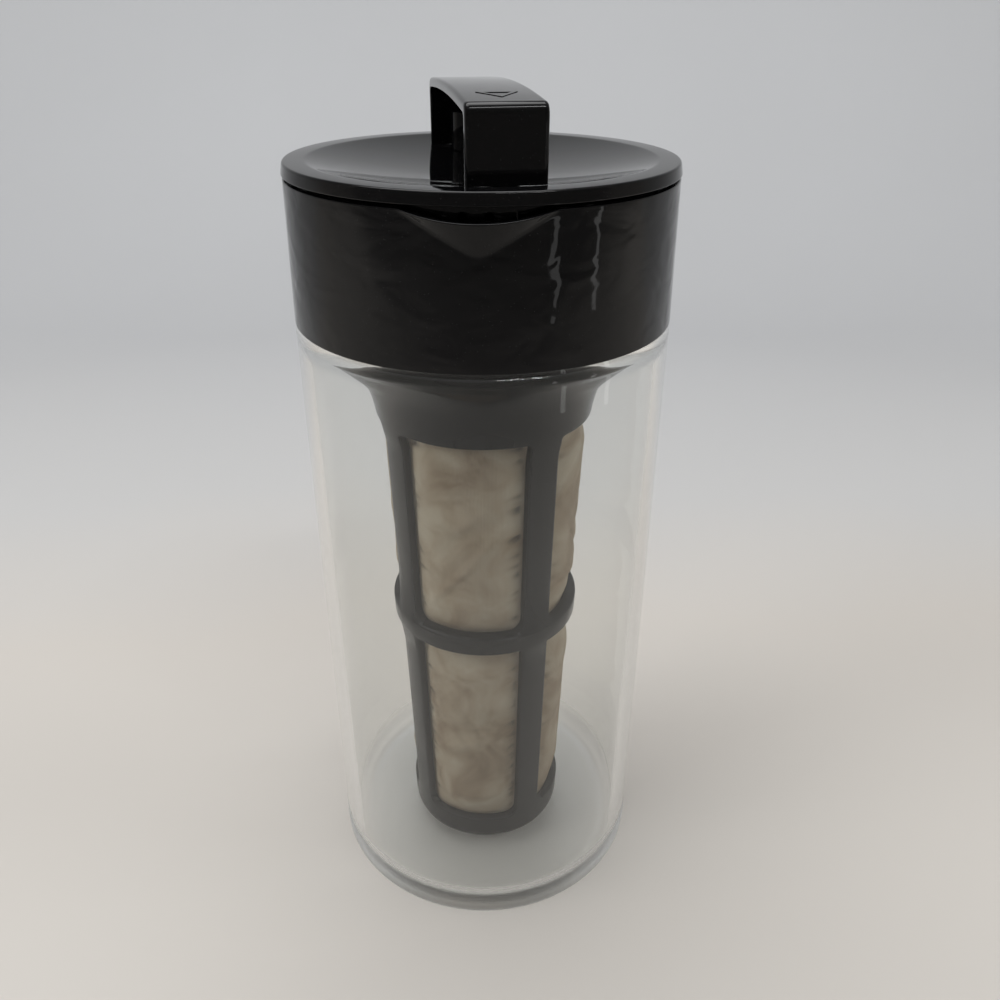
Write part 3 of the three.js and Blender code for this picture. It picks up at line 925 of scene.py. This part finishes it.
def fold_waves(seed):
    """Slanting folds for one window: (across, up, slope, width, depth) each."""
    rng = random.Random(seed)
    ranges = ((-0.7, 0.7), (0.05, 0.95), (-1.8, 1.8), (0.05, 0.13), (-1.0, 0.8))
    return [[rng.uniform(low, high) for low, high in ranges] for _ in range(9)]


def crease_marks(seed):
    """Short creases along a window's sides: (side, up, length, depth) each."""
    rng = random.Random(seed)
    return [
        (
            rng.choice((-1, 1)), rng.uniform(0.03, 0.97), rng.uniform(0.08, 0.24),
            rng.uniform(0.3, 1.0),
        )
        for _ in range(34)
    ]


FOLDS = {(q, w): fold_waves(17 * q + w + 3) for q in range(4) for w in range(2)}
CREASES = {(q, w): crease_marks(91 * q + w + 5) for q in range(4) for w in range(2)}


def cloth_offset(angle, height):
    """How far the mesh stands out from where the ribs hold it, and how deep a crease is there,
    which also sets the crease's painted shade and stain.
    """
    quarter = math.pi / 2
    local = (angle - FILTER["turn"]) % quarter - quarter / 2
    window_number = int((angle - FILTER["turn"]) // quarter) % 4
    across = local / (quarter / 2 - RIB_HALF_ANGLE)
    for w, (low, high) in enumerate(WINDOWS):
        up = (height - low) / (high - low)
        if 0 < up < 1 and abs(across) < 1:
            span = (high - low) / 80
            free = math.cos(across * math.pi / 2) ** 0.7
            free *= min(1, math.sin(up * math.pi) * 2.2) ** 0.7
            push = WINDOW_PUSH[w] * free
            fold = 0
            for fx, fu, slope, width, depth in FOLDS[window_number, w]:
                run = (up - fu) * span * 2 - slope * (across - fx) * 0.5
                wave = depth * math.exp(-((run / width) ** 2))
                fold += wave * math.exp(-(((across - fx) / 0.9) ** 2))
            crease = 0
            for side, cu, length, depth in CREASES[window_number, w]:
                edge = 1 - side * across
                if edge < length * 2.5:
                    run = (up - cu) * (high - low) / 0.8
                    crease -= depth * math.exp(-run * run) * math.exp(-((edge / length) ** 2))
            crease *= min(1, (1 - abs(across)) * 12)
            return push + fold * free + crease, min(0.8, -crease)
    return 0, 0


def mesh_sleeve():
    columns, rows = MESH["columns"], MESH["rows"]
    vertices, faces, crease_shade_and_stain = [], [], []
    for j in range(rows + 1):
        height = MESH["bottom"] + (MESH["top"] - MESH["bottom"]) * j / rows
        base = cage_radius(height) - MESH["wall"] - MESH["gap"]
        for i in range(columns):
            angle = 2 * math.pi * i / columns
            out, crease = cloth_offset(angle, height)
            vertices.append(around(angle, base + out, height))
            crease_shade_and_stain.append(crease)
    for j in range(rows):
        faces += ring_faces(j * columns, (j + 1) * columns, columns, flipped=True)
    obj = link_mesh("mesh_sleeve", vertices, faces)
    # The crease attribute darkens the mesh's colour: painted shade in the creases, with some stain.
    obj.data.attributes.new("crease", "FLOAT", "POINT").data.foreach_set("value", crease_shade_and_stain)
    cloth_map = obj.data.uv_layers.new(name="cloth")
    mean_radius = cage_radius(90) - MESH["wall"]
    for polygon in obj.data.polygons:
        column = polygon.index % columns
        for corner, loop in enumerate(polygon.loop_indices):
            across = column + (corner in (1, 2))
            row = polygon.index // columns + (corner in (2, 3))
            length = (MESH["top"] - MESH["bottom"]) * row / rows
            width = 2 * math.pi * mean_radius * across / columns
            cloth_map.data[loop].uv = (width * MM, length * MM)
    return obj


def mesh_cloth():
    """Fine woven mesh: threads both ways, with tiny gaps that let light and sight through."""
    material, nodes, links, shader = new_material(
        "fine_mesh", {"Roughness": 0.8, "Specular IOR Level": 0.2}
    )
    place = nodes.new("ShaderNodeUVMap")
    place.uv_map = "cloth"
    parts = nodes.new("ShaderNodeSeparateXYZ")
    wire(links, (place, "UV", parts, "Vector"))
    pitch = 0.35 * MM
    threads = []
    for axis in ("X", "Y"):
        scaled = add_node(nodes, "ShaderNodeMath", {1: 2 * math.pi / pitch}, "MULTIPLY")
        wave = add_node(nodes, "ShaderNodeMath", operation="SINE")
        wire(links, (parts, axis, scaled, 0), (scaled, "Value", wave, 0))
        threads.append(wave)
    over = add_node(nodes, "ShaderNodeMath", operation="MAXIMUM")
    gaps = {"From Min": -0.75, "From Max": -0.1, "To Min": 0.35, "To Max": 0.93}
    solid = add_node(nodes, "ShaderNodeMapRange", gaps)
    # Random lighter and darker brown blotches over the mesh.
    random_blotches = add_node(nodes, "ShaderNodeTexNoise", {"Scale": 62, "Detail": 3, "Distortion": 0.8})
    object_place = nodes.new("ShaderNodeTexCoord")
    tint = colour_ramp(
        nodes, (0.32, (0.275, 0.208, 0.14)), (0.48, (0.375, 0.308, 0.222)),
        (0.68, (0.46, 0.40, 0.305)),
    )
    # Painted shade and stain: the crease depth darkens the colour, partly coffee stain caught in
    # the creases and partly the shade that falls in them.
    crease = nodes.new("ShaderNodeAttribute")
    crease.attribute_name = "crease"
    stain_and_painted_shade = colour_mix(nodes, {"B": (0.07, 0.06, 0.045, 1)})
    wire(
        links, (threads[0], "Value", over, 0), (threads[1], "Value", over, 1),
        (over, "Value", solid, "Value"), (solid, "Result", shader, "Alpha"),
        (object_place, "Object", random_blotches, "Vector"), (random_blotches, "Fac", tint, "Fac"),
        (crease, "Fac", stain_and_painted_shade, "Factor"), (tint, "Color", stain_and_painted_shade, "A"),
        (stain_and_painted_shade, "Result", shader, "Base Color"),
    )
    add_bump(nodes, links, shader, (over, "Value"), 0.5, 0.03)
    return material


sleeve = mesh_sleeve()
sleeve.data.materials.append(mesh_cloth())
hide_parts("filter_mesh")
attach(sleeve, "filter")

# %% [markdown]
# ## The lid
# The disc has a flat land round its edge and a shallow bowl inside it, which leaves room for the
# fingers under the handle. The bowl's curve also sets what stands on it, so its height at a radius
# is a function. Everything on the lid is turned a few degrees past the spout, as it was left.

# %% Lid disc
LID = dict(
    turn=math.radians(9.9), bottom=246.0, top=249.3, bottom_radius=55.6, top_radius=55.0,
    dish_radius=49.0, dish=5.8, wall=2.5,
)


def dish_height(radius):
    return LID["top"] - LID["dish"] * (1 - (radius / LID["dish_radius"]) ** 2)


BOWL_BOTTOM = dish_height(0) - LID["wall"]
UNDER_RADIUS = LID["dish_radius"] * math.sqrt(
    1 - (LID["top"] - LID["bottom"] - LID["wall"]) / LID["dish"]
)


def dish_curve(reach, rise, steps=24):
    """The bowl's curve from the axis out to a radius."""
    radii = [reach * i / steps for i in range(steps + 1)]
    return [(radius, dish_height(radius) + rise) for radius in radii]


def lid_section():
    over = dish_curve(LID["dish_radius"], 0)[::-1]
    under = dish_curve(UNDER_RADIUS, -LID["wall"])
    edge = rounded(
        [
            (UNDER_RADIUS, LID["bottom"], 0),
            (LID["bottom_radius"], LID["bottom"], 0.35),
            (LID["top_radius"], LID["top"], 0.7),
            (LID["dish_radius"], LID["top"], 0.6),
            (*over[1], 0),
        ],
        closed=False,
    )
    return under[:-1] + edge + over[2:]


lid_disc = turned("lid_top", lid_section(), gloss_black, 256)


def turned_with_lid(obj):
    """Turns a mesh about the axis to where the lid was left."""
    obj.data.transform(Matrix.Rotation(LID["turn"], 4, "Z"))
    return obj


def joined(obj, other):
    """Adds another object's mesh to an object's own, and removes the other."""
    work = bmesh.new()
    work.from_mesh(obj.data)
    work.from_mesh(other.data)
    bmesh.ops.recalc_face_normals(work, faces=work.faces)
    work.to_mesh(obj.data)
    work.free()
    bpy.data.objects.remove(other)
    return obj


# %% [markdown]
# ## The handle
# An arched strap that fingers go under, with a post for a screw inside each leg. Its outside
# corners are softer than its inside ones, which shows as a bright line along its edges. The strap
# is drawn between two outlines of the arch, an outer and an inner one with the same number of
# points, and a small rounded section joins them all the way over. Its feet follow the bowl.

# %% Handle
HANDLE = dict(
    length=80.0, width=20.5, top=267.9, arch=1.3, wall=2.6, end_round=3.0, inner_round=2.0,
    side_round=1.3, post_radius=4.2, post_top=257.3, post_place=34.5, gap=0.3,
)
SCREW_BORE, SCREW_BORE_TOP = 2.0, 255.3


def arch_top(y):
    """The height of the strap's top along its length."""
    flat = HANDLE["length"] / 2 - HANDLE["end_round"]
    return HANDLE["top"] - HANDLE["arch"] * (y / flat) ** 2


def arch_outline(half, top, corner, low=250.5):
    """Points from the front foot up, over and down to the rear foot."""
    shoulder = top - HANDLE["arch"]
    side = [(half, low + (shoulder - corner - low) * i / 6) for i in range(7)]
    for i in range(1, 11):
        t = i / 10
        side.append((half - corner * t * t, shoulder - corner * (1 - t) ** 2))
    over = []
    for i in range(1, 40):
        share = 1 - 2 * i / 40
        over.append(((half - corner) * share, shoulder + HANDLE["arch"] * (1 - share * share)))
    return [(-y, z) for y, z in side] + [(-y, z) for y, z in over] + side[::-1]


def strap():
    half, wall = HANDLE["length"] / 2, HANDLE["wall"]
    outer = arch_outline(half, HANDLE["top"], HANDLE["end_round"])
    inner = arch_outline(half - wall, HANDLE["top"] - wall, HANDLE["inner_round"])
    across, soft = HANDLE["width"] / 2, HANDLE["side_round"]
    section = rounded(
        [(across, 0, soft), (across, wall, 0.5), (-across, wall, 0.5), (-across, 0, soft)]
    )
    rings = []
    for (oy, oz), (iy, iz) in zip(outer, inner):
        dy, dz = iy - oy, iz - oz
        rings.append([(x, oy + dy * d / wall, oz + dz * d / wall) for x, d in section])
    feet = [
        [(x, y, dish_height(math.hypot(x, y)) + HANDLE["gap"]) for x, y, z in rings[k]]
        for k in (0, -1)
    ]
    rings = [feet[0]] + rings + [feet[1]]
    count = len(section)
    vertices = [point for ring in rings for point in ring]
    faces = [tuple(range(count)), tuple(len(vertices) - 1 - i for i in range(count))]
    for i in range(len(rings) - 1):
        faces += ring_faces(i * count, (i + 1) * count, count, flipped=True)
    return link_mesh("strap_handle", vertices, faces, gloss_black)


def screw_post():
    """A post with a blind bore, its foot cut to the bowl."""
    marker = BOWL_BOTTOM - 1
    radius, top = HANDLE["post_radius"], HANDLE["post_top"]
    outside = rounded([(radius, marker, 0), (radius, top, 0.5), (0, top, 0)], closed=False)
    bore = [(0, SCREW_BORE_TOP), (SCREW_BORE, SCREW_BORE_TOP), (SCREW_BORE, marker)]
    post = turned("screw_post", bore + outside, gloss_black, 40)
    for vertex in post.data.vertices:
        vertex.co.y -= HANDLE["post_place"] * MM
        if vertex.co.z < (marker + 0.1) * MM:
            reach = math.hypot(vertex.co.x, vertex.co.y) / MM
            vertex.co.z = (dish_height(reach) + HANDLE["gap"]) * MM
    return post


def pointing_mark():
    """A raised triangle near the front end, which says which way the lid pours."""
    flat = [(-5.3, -24.0), (0.0, -32.0), (5.3, -24.0)]
    inside = [(-3.5, -24.9), (0.0, -30.2), (3.5, -24.9)]
    vertices = []
    for rise in (-0.3, 0.15):
        vertices += [(x, y, arch_top(y) + rise) for x, y in flat + inside]
    faces = []
    for i in range(3):
        k = (i + 1) % 3
        faces += [(i, k, k + 6, i + 6), (k + 3, i + 3, i + 9, k + 9)]
        faces += [(i + 6, k + 6, k + 9, i + 9), (k, i, i + 3, k + 3)]
    return link_mesh("pointing_mark", vertices, faces, gloss_black)


handle = joined(strap(), place_round(screw_post(), 2, gloss_black))
handle = joined(handle, pointing_mark())
handle.data.shade_smooth()
handle.data.set_sharp_from_angle(angle=math.radians(50))
turned_with_lid(handle)
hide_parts("lid_handle")
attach(handle, "lid")
print("handle:", len(handle.data.polygons), "faces")

# %% [markdown]
# ## Under the lid
# A skirt with strainer slots at the front goes down into the collar, a soft ring in its groove
# grips the collar, and a plate closes the bowl. Two screws come up from below into the handle.

# %% Lid holes, skirt and slots
def cut_copies_tree():
    """Copies of one object turned about Z, cut out of a shape."""
    inputs = TURNED_INPUTS + [("Cutter", "NodeSocketObject")]
    tree, given, made = tree_with("cut_round_the_axis", inputs)
    nodes, links = tree.nodes, tree.links
    info = nodes.new("GeometryNodeObjectInfo")
    real = turned_copies(nodes, links, given, info)
    cut = add_node(nodes, "GeometryNodeMeshBoolean", operation="DIFFERENCE")
    finish = nodes.new("GeometryNodeSetMaterial")
    wire(
        links, (given, "Cutter", info, "Object"), (given, "Geometry", cut, "Mesh 1"),
        (real, "Geometry", cut, "Mesh 2"), (cut, "Mesh", finish, "Geometry"),
        (given, "Material", finish, "Material"), (finish, "Geometry", made, "Geometry"),
    )
    return tree


CUT_COPIES = cut_copies_tree()


def cut_round(obj, cutter, copies, first, step):
    """Cuts turned copies of another object out of an object, and removes the other."""
    values = {
        "Cutter": cutter, "Copies": copies, "First Angle": first, "Angle Step": step,
        "Material": obj.data.materials[0],
    }
    run_tree(obj, CUT_COPIES, values)
    bpy.data.objects.remove(cutter)


def slot_cutter(width, low, high, radius):
    """An upright slot with round ends that runs outwards at the front of the skirt."""
    end_round = width / 2 - 0.01
    points = rounded_rectangle(-width / 2, width / 2, low, high, end_round, end_round, 6)
    count = len(points)
    vertices = [(x, y, z) for y in (-radius - 4, -radius + 4) for x, z in points]
    faces = [tuple(range(count)), tuple(range(2 * count - 1, count - 1, -1))]
    faces += ring_faces(0, count, count)
    return link_mesh("slot_cutter", vertices, faces)


SCREW_LENGTH = 14.0


def screw_section(extra, length):
    """A countersunk screw's section, larger by a clearance, its head's face at height zero."""
    shaft, head, sink, tip = 1.7 + extra, 3.4 + extra, 1.6 + extra, 1.5
    return [
        (0, 0), (head, 0), (shaft, sink), (shaft, length - tip), (shaft / 2, length), (0, length),
    ]


def finish_lid_piece(obj, node, body="lid", sharp=40):
    obj.data.shade_smooth()
    obj.data.set_sharp_from_angle(angle=math.radians(sharp))
    turned_with_lid(obj)
    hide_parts(node)
    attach(obj, body)
    return obj


hole = turned("screw_hole", screw_section(0.3, SCREW_LENGTH), gloss_black, 32)
hole.data.transform(Matrix.Translation((0, HANDLE["post_place"] * MM, (BOWL_BOTTOM - 0.02) * MM)))
cut_round(lid_disc, hole, 2, 0.0, math.pi)
pad_top = dish_height(HANDLE["post_place"]) - LID["wall"] / 2
pad = turned_ring(
    "screw_pad",
    [
        (3.8, BOWL_BOTTOM, 0.1), (4.2, BOWL_BOTTOM, 0.1), (4.2, pad_top, 0.1), (2.0, pad_top, 0.1),
        (2.0, BOWL_BOTTOM + 1.9, 0.1),
    ],
    gloss_black,
    40,
)
pad.data.transform(Matrix.Translation((0, HANDLE["post_place"] * MM, 0)))
lid_disc = joined(lid_disc, place_round(pad, 2, gloss_black))
finish_lid_piece(lid_disc, "lid_disc", sharp=50)

PLUG = dict(
    inner=49.0, outer=51.6, bottom=232.8, top=245.7, groove=(233.7, 237.3), groove_depth=1.2,
)
skirt = turned_ring(
    "lid_skirt",
    [
        (PLUG["inner"], PLUG["bottom"], 0.4),
        (PLUG["outer"], PLUG["bottom"], 0.3),
        (PLUG["outer"], PLUG["groove"][0], 0.15),
        (PLUG["outer"] - PLUG["groove_depth"], PLUG["groove"][0], 0.15),
        (PLUG["outer"] - PLUG["groove_depth"], PLUG["groove"][1], 0.15),
        (PLUG["outer"], PLUG["groove"][1], 0.15),
        (PLUG["outer"], PLUG["top"], 0.1),
        (PLUG["inner"], PLUG["top"], 0.1),
    ],
    gloss_black,
)
cutter = slot_cutter(width=2.2, low=238.9, high=244.1, radius=50.3)
cut_round(skirt, cutter, 5, math.radians(-14), math.radians(7))
finish_lid_piece(skirt, "lid_plug")

# %% Seal, plate and screws
seal = turned_ring(
    "soft_lid_ring",
    [
        (50.7, 234.0, 0.2), (52.9, 234.0, 0.3), (52.9, 234.8, 0.3), (51.7, 234.9, 0.2),
        (51.7, 236.1, 0.2), (52.9, 236.2, 0.3), (52.9, 237.0, 0.3), (50.7, 237.0, 0.2),
    ],
    soft_grey,
)
finish_lid_piece(seal, "lid_seal", body="lid_ring")

PLATE = dict(radius=44.0, bottom=239.1, top=240.7)
plate_section = rounded(
    [
        (0, PLATE["bottom"], 0), (PLATE["radius"], PLATE["bottom"], 0.4),
        (PLATE["radius"], PLATE["top"], 0.4), (0, PLATE["top"], 0),
    ],
    closed=False,
)
plate = turned("bowl_plate", plate_section, gloss_black)
finish_lid_piece(plate, "lid_cover_plate")


def cross_screw(name, place):
    """A countersunk screw with a cross recess in its head."""
    screw = turned(name, screw_section(0, SCREW_LENGTH), steel, 48)
    corners = ((-1.6, -0.35), (1.6, -0.35), (1.6, 0.35), (-1.6, 0.35))
    recess = link_mesh(
        "cross_recess",
        [(x * share, y * share, z) for z, share in ((-0.1, 1.0), (1.1, 0.5)) for x, y in corners],
        [(0, 3, 2, 1), (4, 5, 6, 7), *ring_faces(0, 4, 4, flipped=True)],
    )
    cut_round(screw, recess, 2, 0.0, math.pi / 2)
    screw.data.transform(Matrix.Translation((0, place * MM, BOWL_BOTTOM * MM)))
    return screw


for name, place, node in (
    ("screw_front", -HANDLE["post_place"], "handle_screw_front"),
    ("screw_rear", HANDLE["post_place"], "handle_screw_rear"),
):
    finish_lid_piece(cross_screw(name, place), node, sharp=30)
